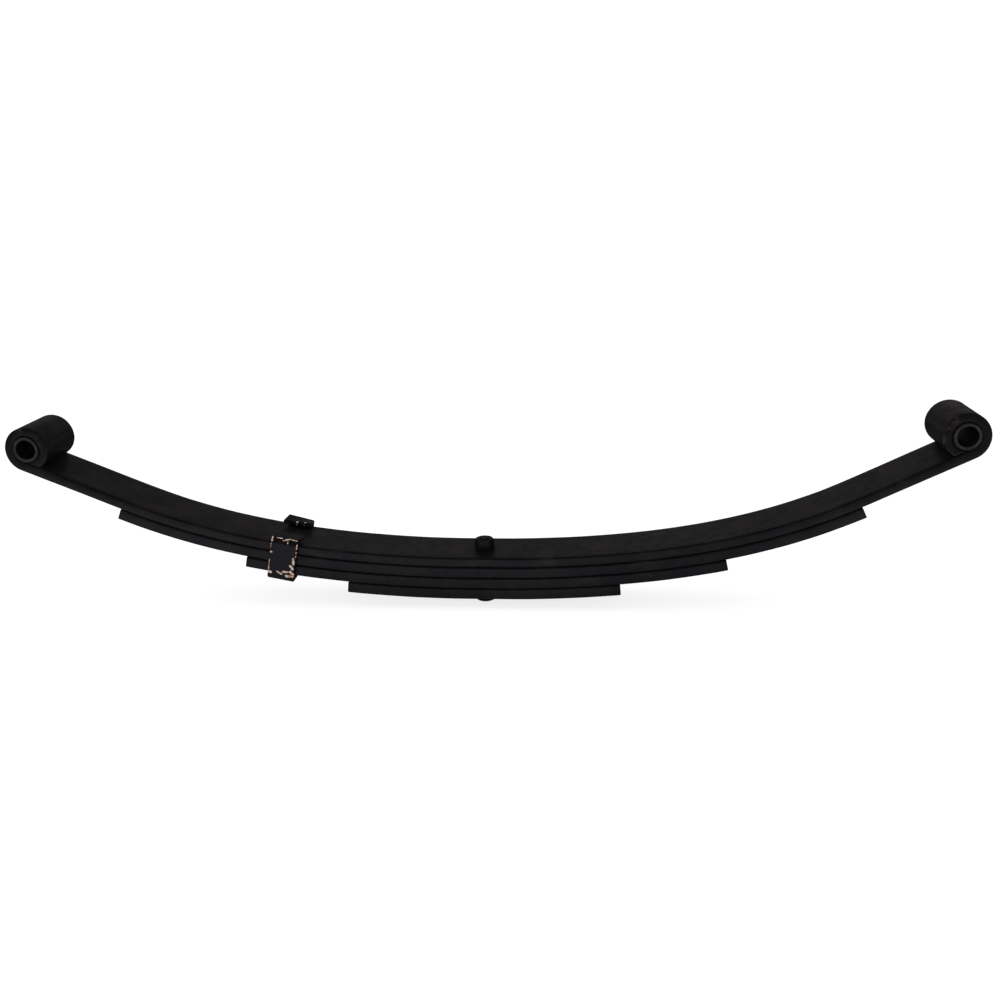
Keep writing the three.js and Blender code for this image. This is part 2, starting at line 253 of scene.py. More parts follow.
# How large the patterns in the paint are, and how deep its relief is
DUST_CLOUDS = 26 * MM
DUST_SMEARS = 9 * MM
RUST_SPOTS = 4.5 * MM
GLOSS_CLOUDS = 7 * MM
CHIP_OUTLINES = 1.5 * MM
CHIP_MOTTLE = 1.1 * MM
RIM_SPECKS = 3.1 * MM
ORANGE_PEEL = 2.4 * MM
ORANGE_PEEL_DEPTH = 0.05 * MM
PAINT_GRAIN = 0.5 * MM
PAINT_GRAIN_DEPTH = 0.02 * MM
PAINT_DEPTH = 0.12 * MM
# Paint is gone where wear passes this level, give or take half of this swing
GONE_LEVEL = 0.45
GONE_SWING = 1.7
CHIP_ROUGHNESS = 0.85

CAMERA_PLACE = (77.2 * MM, -740.0 * MM, SEAT_TOP + 277.1 * MM)
CAMERA_YAW = math.radians(5.021)
CAMERA_PITCH = math.radians(-17.882)
CAMERA_ROLL = math.radians(-1.279)
CAMERA_LENS = 38.456

# The studio is white to the eye and to soft light, and dimmer in the paint's gloss, by place and direction
STUDIO_WHITE = 1.15
WARM = (1.04, 0.96, 0.98)
COOL = (0.98, 0.94, 1.05)
FLOOR_REACH = 12
FLOOR_TONE = 0.93
FLOOR_TO_EYE = 0.25
FLOOR_GLOW = 0.8
FLOOR_SIDES_FROM = 0.48
# Tones by the distance in metres in front of the spring or beyond its ends, and along it from the left
FLOOR_IN_GLOSS = [(0.0, 0.04), (0.02, 0.3), (0.07, 0.4), (0.12, 0.7), (0.24, 0.7), (0.42, 0.07), (1.0, 0.05)]
FLOOR_GLOSS_LEFT = 0.5
FLOOR_GLOSS_ALONG = [(0.0, 1.0), (0.54, 1.0), (0.62, 0.68), (0.76, 0.7), (0.83, 1.0), (1.0, 1.0)]
# Tones by the height of a direction, and from the front at 0 to the back at 1
GLOSS_BY_HEIGHT = [(0.0, 0.03), (0.1, 0.06), (0.2, 0.2), (0.36, 0.19), (0.7, 0.02), (1.0, 0.01)]
GLOSS_FRONT_TO_BACK = [
    (0.0, 1.0), (0.22, 0.9), (0.34, 0.3), (0.42, 1.6), (0.58, 1.6), (0.66, 0.25), (0.8, 0.6), (1.0, 0.75),
]
LAMP_SIZE = 1.6
LAMP_POWER = 6
LAMP_AIM = Vector((0, 0, 0.05))

# ---------------------------------------------------------------- camber


def camber_table():
    """Height of the main leaf's upper face above its seat, on a fine grid, with the kinks eased."""
    grid = np.arange(-CAMBER_STEPS, CAMBER_STEPS + 1) * CAMBER_STEP
    side = np.where(grid < 0, -1, 1)
    tip = np.where(side < 0, TIP_RISE[-1], TIP_RISE[1])
    straight_from = np.where(side < 0, STRAIGHT_FROM[-1], STRAIGHT_FROM[1])
    reach = np.abs(grid)
    bent = np.clip(reach, SEAT_HALF, straight_from)

    def rise(u):
        return CAMBER_RISE * (u / EYE_REACH) ** 2 + tip * (u / EYE_REACH) ** 4

    slope = 2 * CAMBER_RISE * bent / EYE_REACH**2 + 4 * tip * bent**3 / EYE_REACH**4
    height = rise(bent) - rise(SEAT_HALF) + slope * np.maximum(reach - straight_from, 0)
    spread = np.exp(-0.5 * (np.arange(-EASING_STEPS, EASING_STEPS + 1) / EASING_SPREAD) ** 2)
    eased = np.convolve(height, spread / spread.sum(), mode="same")
    return grid, eased, np.gradient(eased, CAMBER_STEP)


CAMBER_X, CAMBER_HEIGHT, CAMBER_SLOPE = camber_table()


def leaf_normal(x):
    angle = math.atan(float(np.interp(x, CAMBER_X, CAMBER_SLOPE)))
    return Vector((-math.sin(angle), 0, math.cos(angle)))


def leaf_point(x, depth):
    """The point at a depth under the main leaf's upper face, square to the leaf at x."""
    height = float(np.interp(x, CAMBER_X, CAMBER_HEIGHT))
    return Vector((x, 0, SEAT_TOP + height)) - leaf_normal(x) * depth


# ---------------------------------------------------------------- mesh helpers


class Station:
    """One section of a swept strip.

    point lies on the face that inward points away from, and across runs along the strip's width. The strip
    has its own width and thickness here, and edge radii on the face at point and on the other one.
    """

    def __init__(self, point, across, inward, width, thickness, near_radius, far_radius, inset=0.0):
        self.point = point
        self.across = across
        self.inward = inward
        self.width = width
        self.thickness = thickness
        self.near_radius = near_radius
        self.far_radius = far_radius
        self.inset = inset

    def moved(self, along, inset):
        return Station(
            self.point + along, self.across, self.inward, self.width, self.thickness,
            self.near_radius, self.far_radius, inset,
        )

    def section(self, flat_steps, corner_steps=6):
        """The rounded rectangle as (across, depth, outward across, outward depth, 1 on corners else 0)."""
        half = self.width / 2 - self.inset
        top, bottom = self.inset, self.thickness - self.inset
        most = (bottom - top) * 0.48
        near = min(max(self.near_radius - self.inset, LEAST_EDGE_RADIUS), most)
        far = min(max(self.far_radius - self.inset, LEAST_EDGE_RADIUS), most)
        corners = [
            (half - far, bottom - far, far, 0.5 * math.pi),
            (half - near, top + near, near, 0.0),
            (near - half, top + near, near, -0.5 * math.pi),
            (far - half, bottom - far, far, -math.pi),
        ]
        points = []
        for number, (across, depth, radius, start) in enumerate(corners):
            for i in range(corner_steps + 1):
                turn = start - 0.5 * math.pi * i / corner_steps
                out = (math.cos(turn), math.sin(turn))
                points.append((across + radius * out[0], depth + radius * out[1], *out, 1.0))
            if number in (1, 3):
                last = points[-1]
                following = corners[(number + 1) % 4][0]
                for i in range(1, flat_steps):
                    where = last[0] + (following - last[0]) * i / flat_steps
                    points.append((where, last[1], 0.0, last[3], 0.0))
        return points


def mesh_from_rings(name, rings, attributes, closed_path=False):
    """Joins rings of points into a skin, closing both ends with a fan unless the path is closed."""
    mesh = bpy.data.meshes.new(name)
    count = len(rings[0])
    points = [p for ring in rings for p in ring]
    faces = []
    loops = len(rings) if closed_path else len(rings) - 1
    for i in range(loops):
        a, b = i * count, ((i + 1) % len(rings)) * count
        for j in range(count):
            k = (j + 1) % count
            faces.append((a + j, a + k, b + k, b + j))
    if not closed_path:
        for first in (0, (len(rings) - 1) * count):
            ring = rings[first // count]
            points.append(sum(ring, Vector()) / count)
            hub = len(points) - 1
            for j in range(count):
                faces.append((first + j, first + (j + 1) % count, hub))
    mesh.from_pydata(points, [], faces)
    mesh.update()
    work = bmesh.new()
    work.from_mesh(mesh)
    bmesh.ops.recalc_face_normals(work, faces=work.faces)
    work.to_mesh(mesh)
    work.free()
    for key in ("rim", "wear", "rust_and_highlight"):
        values = list(attributes.get(key, []))
        values += [0.0] * (len(points) - len(values))
        layer = mesh.attributes.new(key, "FLOAT", "POINT")
        layer.data.foreach_set("value", np.array(values, np.float32))
    return mesh


def finish_piece(mesh, material, sharp_degrees=38):
    """Makes the object, keeps its rest place for the textures, and shades it smooth up to an angle."""
    place = np.zeros(len(mesh.vertices) * 3, np.float32)
    mesh.vertices.foreach_get("co", place)
    rest = mesh.attributes.new("rest", "FLOAT_VECTOR", "POINT")
    rest.data.foreach_set("vector", place)
    mesh.shade_smooth()
    mesh.set_sharp_from_angle(angle=math.radians(sharp_degrees))
    piece = bpy.data.objects.new(mesh.name, mesh)
    bpy.context.scene.collection.objects.link(piece)
    piece.data.materials.append(material)
    return piece


def uneven(point, size, seed):
    """Smooth noise from -1 to 1 with features of about this size."""
    return noise.noise(Vector(point) / size + Vector((seed, 2 * seed, -seed)))


def near_segment(x, z, start, finish):
    """Distance from a point to the line between two ends."""
    run_x, run_z = finish[0] - start[0], finish[1] - start[1]
    share = ((x - start[0]) * run_x + (z - start[1]) * run_z) / (run_x**2 + run_z**2)
    share = min(1.0, max(0.0, share))
    return math.hypot(x - start[0] - share * run_x, z - start[1] - share * run_z)


def sweep(name, stations, flat_steps, unevenness, seed, worn=None):
    """A strip along stations with a slightly uneven skin; worn gives (wear, rust) at a place on it."""
    rings = []
    attributes = {"rim": [], "wear": [], "rust_and_highlight": []}
    for station in stations:
        ring = []
        for across, depth, out_across, out_depth, rim in station.section(flat_steps):
            point = station.point + station.across * across - station.inward * depth
            out = station.across * out_across - station.inward * out_depth
            lift = uneven(point, LONG_WAVE, seed) + 0.5 * uneven(point, SHORT_WAVE, seed + 5)
            ring.append(point + out * unevenness * lift)
            wear, rust_and_highlight = worn(station, across, depth) if worn else (0.0, 0.0)
            attributes["rim"].append(rim)
            attributes["wear"].append(wear)
            attributes["rust_and_highlight"].append(rust_and_highlight)
        rings.append(ring)
    return mesh_from_rings(name, rings, attributes)


def turned_rings(profile, segments, base, axis, reach=None):
    """Rings of a turned piece: profile is (radius, height) along axis, and reach may reshape each ring."""
    side = Vector((1, 0, 0)) if abs(axis.x) < 0.9 else Vector((0, 1, 0))
    u = axis.cross(side).normalized()
    v = axis.cross(u).normalized()
    rings = []
    for radius, height in profile:
        ring = []
        for i in range(segments):
            turn = 2 * math.pi * i / segments
            r = reach(radius, height, turn) if reach else radius
            ring.append(base + axis * height + (u * math.cos(turn) + v * math.sin(turn)) * r)
        rings.append(ring)
    return rings


# ---------------------------------------------------------------- leaves


def arm_stations(side, reach, depth, thickness):
    """Stations from the middle of a leaf out along one arm."""
    steps = int(reach / LEAF_STEP)
    stations = []
    for i in range(steps + 1):
        x = side * reach * i / steps
        point, inward = leaf_point(x, depth), leaf_normal(x)
        stations.append(Station(point, ACROSS, inward, LEAF_WIDTH, thickness, EDGE_RADIUS, EDGE_RADIUS))
    return stations


def rounded_end(station, side, rounding):
    """Stations that round off a leaf's free end."""
    along = Vector((side * station.inward.z, 0, -side * station.inward.x))
    rounding = min(rounding, 0.4 * station.thickness)
    ends = []
    for i in range(1, END_STEPS + 1):
        turn = 0.5 * math.pi * i / END_STEPS
        ends.append(station.moved(along * rounding * math.sin(turn), rounding * (1 - math.cos(turn))))
    return ends


def straight_axes(side):
    """The directions along and square to the straight end of an arm."""
    upward = leaf_normal(side * STRAIGHT_STATION)
    return Vector((side * upward.z, 0, -side * upward.x)), upward


def eye_centre(side):
    lo, hi = eye_boxes[side]
    return Vector(((lo.x + hi.x) / 2, 0, (lo.z + hi.z) / 2))


def roll_start(side):
    """How far out along an arm its eye starts, where the straight end touches the bore."""
    _, upward = straight_axes(side)
    return EYE_REACH + EYE_BORE_RADIUS * abs(upward.x)


def roll_stations(side):
    """Stations round one eye, from the arm out, over the top and back down to a wedge against the arm."""
    along, upward = straight_axes(side)
    stations = []
    for i in range(1, ROLL_STEPS + 1):
        turn = EYE_WRAP * i / ROLL_STEPS
        out = along * math.sin(turn) - upward * math.cos(turn)
        thinned = min(1.0, turn / ROLL_THINNED_FROM)
        thickness = MAIN_THICKNESS - ROLL_THINNING * thinned**2 * (3 - 2 * thinned)
        if turn > WEDGE_FROM:
            room_above_arm = (EYE_BORE_RADIUS - EYE_GAP) / math.cos(turn) - EYE_BORE_RADIUS
            thickness = min(thickness, room_above_arm)
        ease = min(1.0, turn / EYE_EDGE_FROM)
        inner = EDGE_RADIUS + (EYE_EDGE_RADIUS - EDGE_RADIUS) * ease
        point = eye_centre(side) + out * EYE_BORE_RADIUS
        stations.append(Station(point, ACROSS, -out, LEAF_WIDTH, thickness, inner, EDGE_RADIUS))
    return stations


def streak_at(side, offset):
    """How strong the streaks on the near rim of an eye are at an offset from its centre, from 0 to 1."""
    streak = 0.0
    for start, finish, spread in EYE_RUST_AND_HIGHLIGHT_STREAKS[side]:
        away = near_segment(offset.x / MM, offset.z / MM, start, finish) / spread
        streak = max(streak, math.exp(-(away**2)))
    return streak


def eye_rust_and_highlights(side):
    """Rust and rubbed paint on the rim of an eye, which along its crest and in the streaks also paint
    highlights, and, thinly, a rusty film along the top of its far side.
    """
    centre = eye_centre(side)
    roll_radius = EYE_BORE_RADIUS + MAIN_THICKNESS

    def worn(station, across, depth):
        offset = station.point - station.inward * depth - centre
        if offset.length > roll_radius + ROLL_MARGIN:
            return 0.0, 0.0
        if abs(across) > RIM_FROM * LEAF_WIDTH:
            # The crest band is a painted highlight with a rusty tint, where the rounded rim catches light;
            # the streaks are partly painted highlight too
            patch = 0.5 + 0.5 * uneven(station.point, RUST_PATCH, RUST_SEED + side)
            off_crest = abs(depth - CREST_AT * station.thickness) / (CREST_FADE * station.thickness)
            crest_highlight = max(0.0, 1 - off_crest) * patch
            streak = streak_at(side, offset) if across < 0 else 0.0
            wear = max(CREST_HIGHLIGHT_WEAR * crest_highlight, STREAK_WEAR_AND_HIGHLIGHT * streak)
            return wear, max(CREST_HIGHLIGHT_RUST * crest_highlight, STREAK_RUST_AND_HIGHLIGHT * streak)
        top = max(0.0, offset.z / roll_radius)
        far = max(0.0, across / (0.5 * LEAF_WIDTH))
        return 0.0, top**4 * (TOP_RUST_NEAR + TOP_RUST_FURTHER * far) * TOP_RUST[side]

    return worn


def flex(piece):
    """Bakes a piece's place into its mesh."""
    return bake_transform(piece)


def make_leaf_half(node, side, reach, depth, thickness, material, seed, rolled=False):
    """One arm of a leaf, from the bolt out, made as a piece of its own."""
    name = f"{node}_{SIDE_NAME[side]}"
    worn = None
    if rolled:
        stations = arm_stations(side, roll_start(side), depth, thickness) + roll_stations(side)
        worn = eye_rust_and_highlights(side)
    else:
        stations = arm_stations(side, reach - END_ROUNDING, depth, thickness)
    stations += rounded_end(stations[-1], side, END_ROUNDING)
    mesh = sweep(name, stations, LEAF_FLAT_STEPS, LEAF_UNEVENNESS, seed, worn)
    piece = finish_piece(mesh, material)
    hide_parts(node)
    return flex(piece)


# ---------------------------------------------------------------- rebound clip


def clip_frame():
    """A point level with the main leaf's upper face amid the clip, and the clip's directions along and up."""
    normal = leaf_normal(CLIP_STATION)
    along = Vector((normal.z, 0, -normal.x))
    up = normal * math.cos(CLIP_LEAN) + along * math.sin(CLIP_LEAN)
    along = along * math.cos(CLIP_LEAN) - normal * math.sin(CLIP_LEAN)
    return leaf_point(CLIP_STATION, STRAP_DEPTH) + up * STRAP_DEPTH, along, up


def clip_station(base, along, up, across, height, turn):
    """A station of the strap at a place around the leaves, its inner face turned towards them."""
    half = LEAF_WIDTH / 2 + CLIP_GAP
    tab_end = half + CLIP_THICKNESS - CLIP_TAB
    inward = ACROSS * math.cos(turn) + up * math.sin(turn)
    point = base + ACROSS * across + up * height
    into_tab = 0.0
    if height > 0:
        into_tab = min(1.0, max(0.0, half - abs(across)) / (half - tab_end))
    flare, tilt = CLIP_NEAR_FLARE, 0.0
    if across >= 0:
        flare = CLIP_FAR_FLARE
    if height > 0 and across > 0:
        tilt = CLIP_FAR_TILT * (1 - CLIP_FAR_UNTILT * into_tab)
    width = CLIP_WIDTH + flare * into_tab
    wide_way = (along - up * tilt).normalized()
    return Station(point, wide_way, inward, width, CLIP_THICKNESS, CLIP_EDGE_RADIUS, CLIP_EDGE_RADIUS)


def clip_stations():
    """Stations along the strap: near tab, near side, under the third leaf, far side and far tab."""
    base, along, up = clip_frame()
    half = LEAF_WIDTH / 2 + CLIP_GAP
    tab_end = half + CLIP_THICKNESS - CLIP_TAB
    roof = CLIP_HEADROOM
    far_roof = roof + CLIP_FAR_LIFT
    floor = STRAP_BOTTOM + CLIP_THICKNESS
    bend = CLIP_INNER_BEND
    quarter = 0.5 * math.pi
    stations = []

    def add(across, height, turn):
        stations.append(clip_station(base, along, up, across, height, turn))

    def run(start, finish, turn):
        steps = max(2, int(math.dist(start, finish) / CLIP_STEP))
        for i in range(steps):
            share = i / steps
            add(start[0] + (finish[0] - start[0]) * share, start[1] + (finish[1] - start[1]) * share, turn)

    def corner(across, height, from_turn):
        for i in range(CLIP_BEND_STEPS):
            turn = from_turn + quarter * i / CLIP_BEND_STEPS
            add(across - bend * math.cos(turn), height - bend * math.sin(turn), turn)

    run((-tab_end, roof), (bend - half, roof), -quarter)
    corner(bend - half, roof - bend, -quarter)
    run((-half, roof - bend), (-half, floor + bend), 0)
    corner(bend - half, floor + bend, 0)
    run((bend - half, floor), (half - bend, floor), quarter)
    corner(half - bend, floor + bend, quarter)
    run((half, floor + bend), (half, far_roof - bend), 2 * quarter)
    corner(half - bend, far_roof - bend, 2 * quarter)
    run((half - bend, far_roof), (tab_end, far_roof), 3 * quarter)
    add(tab_end, far_roof, 3 * quarter)
    return with_round_ends(stations, CLIP_EDGE_RADIUS)


def with_round_ends(stations, rounding):
    """Adds stations that round off both ends of a strap."""
    first, last = stations[0], stations[-1]
    start_way = (first.point - stations[1].point).normalized()
    end_way = (last.point - stations[-2].point).normalized()
    lead, tail = [], []
    for i in range(1, CLIP_END_STEPS + 1):
        turn = 0.5 * math.pi * i / CLIP_END_STEPS
        inset = rounding * (1 - math.cos(turn))
        lead.insert(0, first.moved(start_way * rounding * math.sin(turn), inset))
        tail.append(last.moved(end_way * rounding * math.sin(turn), inset))
    return lead + stations + tail


def height_up_strap(place, tilt, up):
    """How far up the outer face of the near side a place lies, with the bends unrolled."""
    top = CLIP_HEADROOM + CLIP_THICKNESS
    outside = -(0.5 * LEAF_WIDTH + CLIP_GAP + CLIP_THICKNESS)
    past_bend = max(0.0, place.y - outside - CLIP_BEND)
    if tilt < -0.01:
        return top - CLIP_BEND + CLIP_BEND * math.asin(min(1.0, -tilt)) + past_bend
    if tilt > 0.01:
        return STRAP_BOTTOM + CLIP_BEND - CLIP_BEND * math.asin(min(1.0, tilt)) - past_bend
    return place.dot(up)


def clip_worn(station, across, depth):
    """How much paint is gone from the strap, and how rusty it is, at a place on it."""
    base, _, up = clip_frame()
    place = station.point - station.inward * depth - base
    right = across / MM
    edge = max(0.0, 1 - (0.5 * station.width - abs(across)) / CLIP_RIM)
    outer = depth > 0.5 * station.thickness
    if place.y > 0 or not outer:
        wear = CLIP_HIDDEN_RIM_WEAR * edge
        if place.dot(up) > 0:
            for start, finish, spread in CLIP_TAB_CHIPS:
                away = near_segment(right, place.y / MM, start, finish) / spread
                wear = max(wear, TAB_CHIP_WEAR * math.exp(-(away**2)))
        return wear, CLIP_RIM_RUST * edge
    height = height_up_strap(place, station.inward.dot(up), up) / MM
    wear = CLIP_RIM_WEAR * edge
    for start, finish, spread, amount in CLIP_CHIPS:
        away = near_segment(right, height, start, finish) / (CHIP_SPREAD * spread)
        wear = max(wear, amount * math.exp(-(away**2)))
    return wear, max(CLIP_RIM_RUST * edge, CHIP_RUST_SHARE * wear)


def make_clip(material):
    stations = clip_stations()
    mesh = sweep("rebound_clip_strap", stations, CLIP_FLAT_STEPS, CLIP_UNEVENNESS, CLIP_SEED, clip_worn)
    piece = finish_piece(mesh, material)
    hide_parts("rebound_clip")
    return flex(piece)


# ---------------------------------------------------------------- bolt, nut, rivet and bushings


def make_turned(name, node, profile, segments, base, axis, material, closed=False, reach=None, rims=()):
    """A turned piece; rims holds a rim value for each ring."""
    rings = turned_rings(profile, segments, base, axis, reach)
    rim_values = [rim for rim in rims for _ in range(segments)]
    piece = finish_piece(mesh_from_rings(name, rings, {"rim": rim_values}, closed), material)
    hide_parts(node)
    return piece


def arc(centre_radius, centre_height, radius, start, finish, steps):
    """Profile points on an arc, with its angles in degrees."""
    points = []
    for i in range(steps + 1):
        turn = math.radians(start + (finish - start) * i / steps)
        points.append((centre_radius + radius * math.cos(turn), centre_height + radius * math.sin(turn)))
    return points


def make_bolt(material):
    """The centre bolt, with a thread cut into its shank up from just below the seat."""
    top = bolt_hi.z
    thread_start = SEAT_TOP - THREAD_BELOW_SEAT

    def reach(radius, height, turn):
        if height < thread_start or radius < 0.5 * BOLT_RADIUS:
            return radius
        wave = (height / THREAD_PITCH - turn / (2 * math.pi)) % 1
        return radius - THREAD_DEPTH * (1 - abs(2 * wave - 1))

    lower, upper = HEAD_ROUNDING, HEAD_UPPER_ROUNDING
    profile = [(AXIS_RADIUS, 0)]
    profile += arc(HEAD_RADIUS - lower, lower, lower, -90, 0, 12)
    profile += arc(HEAD_RADIUS - upper, HEAD_HEIGHT - upper, upper, 0, 90, 4)
    profile += [(BOLT_RADIUS, HEAD_HEIGHT), (BOLT_RADIUS, thread_start)]
    steps = int((top - thread_start) / THREAD_STEP)
    for i in range(1, steps + 1):
        height = thread_start + (top - thread_start) * i / steps
        into_tip = max(0.0, height - (top - BOLT_TIP))
        profile.append((BOLT_RADIUS - BOLT_TIP_TAPER * into_tip, height))
    profile.append((AXIS_RADIUS, top))
    piece = make_turned(
        "center_bolt_body", "center_bolt", profile, 72, Vector(), UP, material, reach=reach,
    )
    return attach(piece, "leaf_pack")


def make_nut(material):
    """A hexagon nut with a chamfered top: each ring follows the flats or the chamfer, whichever is nearer."""
    height = nut_hi.z - nut_lo.z
    flat = NUT_FLATS / 2
    mouth = NUT_BORE_RADIUS + NUT_MOUTH_WIDTH

    def reach(radius, level, turn):
        if radius < flat:
            return radius
        within = (turn + math.pi / 6) % (math.pi / 3) - math.pi / 6
        to_flat = flat / math.cos(within) - flat
        to_chamfer = (height - level) / math.tan(NUT_CHAMFER) - NUT_CHAMFER_INSET * flat
        nearness = math.exp(-to_flat / NUT_SOFTNESS) + math.exp(-to_chamfer / NUT_SOFTNESS)
        return flat - NUT_SOFTNESS * math.log(nearness)

    levels = [height * (0.5 - 0.5 * math.cos(math.pi * i / NUT_LEVELS)) for i in range(NUT_LEVELS + 1)]
    profile = [(NUT_BORE_RADIUS, NUT_MOUTH_DEPTH), (mouth, 0)]
    profile += [(flat, level) for level in levels]
    profile += [(mouth, height), (NUT_BORE_RADIUS, height - NUT_MOUTH_DEPTH)]
    piece = make_turned(
        "center_nut_hex", "center_nut", profile, 144, UP * nut_lo.z, UP, material,
        closed=True, reach=reach,
    )
    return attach(piece, "leaf_pack")


def make_rivet(material):
    """The clip's rivet, its domed head under the strap."""
    base, _, up = clip_frame()
    top = -THIRD_DEPTH - RIVET_END_GAP
    dome_steps = 12
    profile = [(AXIS_RADIUS, STRAP_BOTTOM - RIVET_HEAD_HEIGHT)]
    for i in range(1, dome_steps + 1):
        turn = 0.5 * math.pi * i / dome_steps
        height = STRAP_BOTTOM - RIVET_HEAD_HEIGHT * math.cos(turn)
        profile.append((RIVET_HEAD_RADIUS * math.sin(turn), height))
    profile += [(RIVET_RADIUS, STRAP_BOTTOM), (RIVET_RADIUS, top), (AXIS_RADIUS, top)]
    piece = make_turned("clip_rivet_body", "clip_rivet", profile, 48, base, up, material)
    return flex(piece)


def make_bushing(side, material):
    """A plain sleeve with rounded edges, its end faces bare from the bore to where the paint laps over."""
    half = BUSHING_LENGTH / 2
    edge = BUSHING_EDGE_RADIUS
    bore, outside = BUSHING_BORE_RADIUS, EYE_BORE_RADIUS - PRESS_FIT_GAP
    lap, painted = BUSHING_PAINT_LAP, BUSHING_PAINT_LAP + PAINT_LAP_STEP
    profile = arc(outside - edge, half - edge, edge, 0, 90, 4)
    profile += [(painted, half), (lap, half)]
    profile += arc(bore + edge, half - edge, edge, 90, 180, 4)
    profile += arc(bore + edge, edge - half, edge, 180, 270, 4)
    profile += [(lap, -half), (painted, -half)]
    profile += arc(outside - edge, edge - half, edge, 270, 360, 4)
    # The bore and the painted lap fall outside this and show near black, the bore as painted shade
    bare = [float(bore + 0.3 * edge < radius < 0.5 * (lap + painted)) for radius, _ in profile]
    node = f"{SIDE_NAME[side]}_bushing"
    piece = make_turned(
        f"{node}_sleeve", node, profile, 96, eye_centre(side), ACROSS, material,
        closed=True, rims=bare,
    )
    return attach(piece, END_BODY[side])


# ---------------------------------------------------------------- materials


class Tree:
    """A small builder for node trees."""

    def __init__(self, tree):
        self.tree = tree

    def node(self, kind, **settings):
        node = self.tree.nodes.new("ShaderNode" + kind)
        for name, value in settings.items():
            setattr(node, name, value)
        return node

    def link(self, value, socket):
        """Feeds a socket from another one, or sets it to a number, a grey tone or a colour."""
        if isinstance(value, bpy.types.NodeSocket):
            self.tree.links.new(value, socket)
        elif socket.type == "RGBA":
            colour = value if isinstance(value, tuple) else (value, value, value)
            socket.default_value = (*colour, 1)
        else:
            socket.default_value = value

    def maths(self, operation, *values):
        node = self.node("Math", operation=operation)
        for socket, value in zip(node.inputs, values):
            self.link(value, socket)
        return node.outputs[0]

    def mix(self, share, a, b, blend_type="MIX"):
        node = self.node("Mix", data_type="RGBA", blend_type=blend_type)
        self.link(share, node.inputs["Factor"])
        self.link(a, node.inputs[6])
        self.link(b, node.inputs[7])
        return node.outputs[2]

    def ramp(self, value, stops, tint=(1.0, 1.0, 1.0)):
        """A ramp of (place, colour) stops, or of (place, tone) stops that share one tint."""
        node = self.node("ValToRGB")
        elements = node.color_ramp.elements
        while len(elements) < len(stops):
            elements.new(0.5)
        for element, (place, given) in zip(elements, stops):
            colour = given if isinstance(given, tuple) else [given * part for part in tint]
            element.position = place
            element.color = (*colour, 1)
        self.link(value, node.inputs["Fac"])
        return node.outputs["Color"]


class Skin(Tree):
    """A material whose textures stay on the rest place of each piece."""

    def __init__(self, name):
        self.material = bpy.data.materials.new(name)
        self.material.use_nodes = True
        super().__init__(self.material.node_tree)
        self.shader = self.tree.nodes["Principled BSDF"]
        self.rest = self.node("Attribute", attribute_name="rest").outputs["Vector"]

    def level(self, name):
        """A value that the mesh carries at each point."""
        return self.node("Attribute", attribute_name=name).outputs["Fac"]

    def noise(self, size, detail=3.0, roughness=0.55, stretch=(1, 1, 1)):
        """Noise from 0 to 1 with features of about this size in metres."""
        place = self.node("VectorMath", operation="MULTIPLY")
        self.link(self.rest, place.inputs[0])
        self.link([part / size for part in stretch], place.inputs[1])
        node = self.node("TexNoise")
        self.link(1.0, node.inputs["Scale"])
        self.link(detail, node.inputs["Detail"])
        self.link(roughness, node.inputs["Roughness"])
        self.link(place.outputs[0], node.inputs["Vector"])
        return node.outputs["Fac"]

    def span(self, value, low, high, to_low=0.0, to_high=1.0):
        """Eases a value between two levels into another pair of levels."""
        node = self.node("MapRange", interpolation_type="SMOOTHSTEP")
        for socket, given in zip(node.inputs, (value, low, high, to_low, to_high)):
            self.link(given, socket)
        return node.outputs["Result"]

    def bump(self, height, distance, strength, under=None):
        """Relief of a depth in metres, on top of other relief."""
        node = self.node("Bump")
        self.link(distance, node.inputs["Distance"])
        self.link(strength, node.inputs["Strength"])
        self.link(height, node.inputs["Height"])
        if under is not None:
            self.link(under, node.inputs["Normal"])
        return node.outputs["Normal"]

    def feed(self, **values):
        for name, value in values.items():
            self.link(value, self.shader.inputs[name.replace("_", " ")])


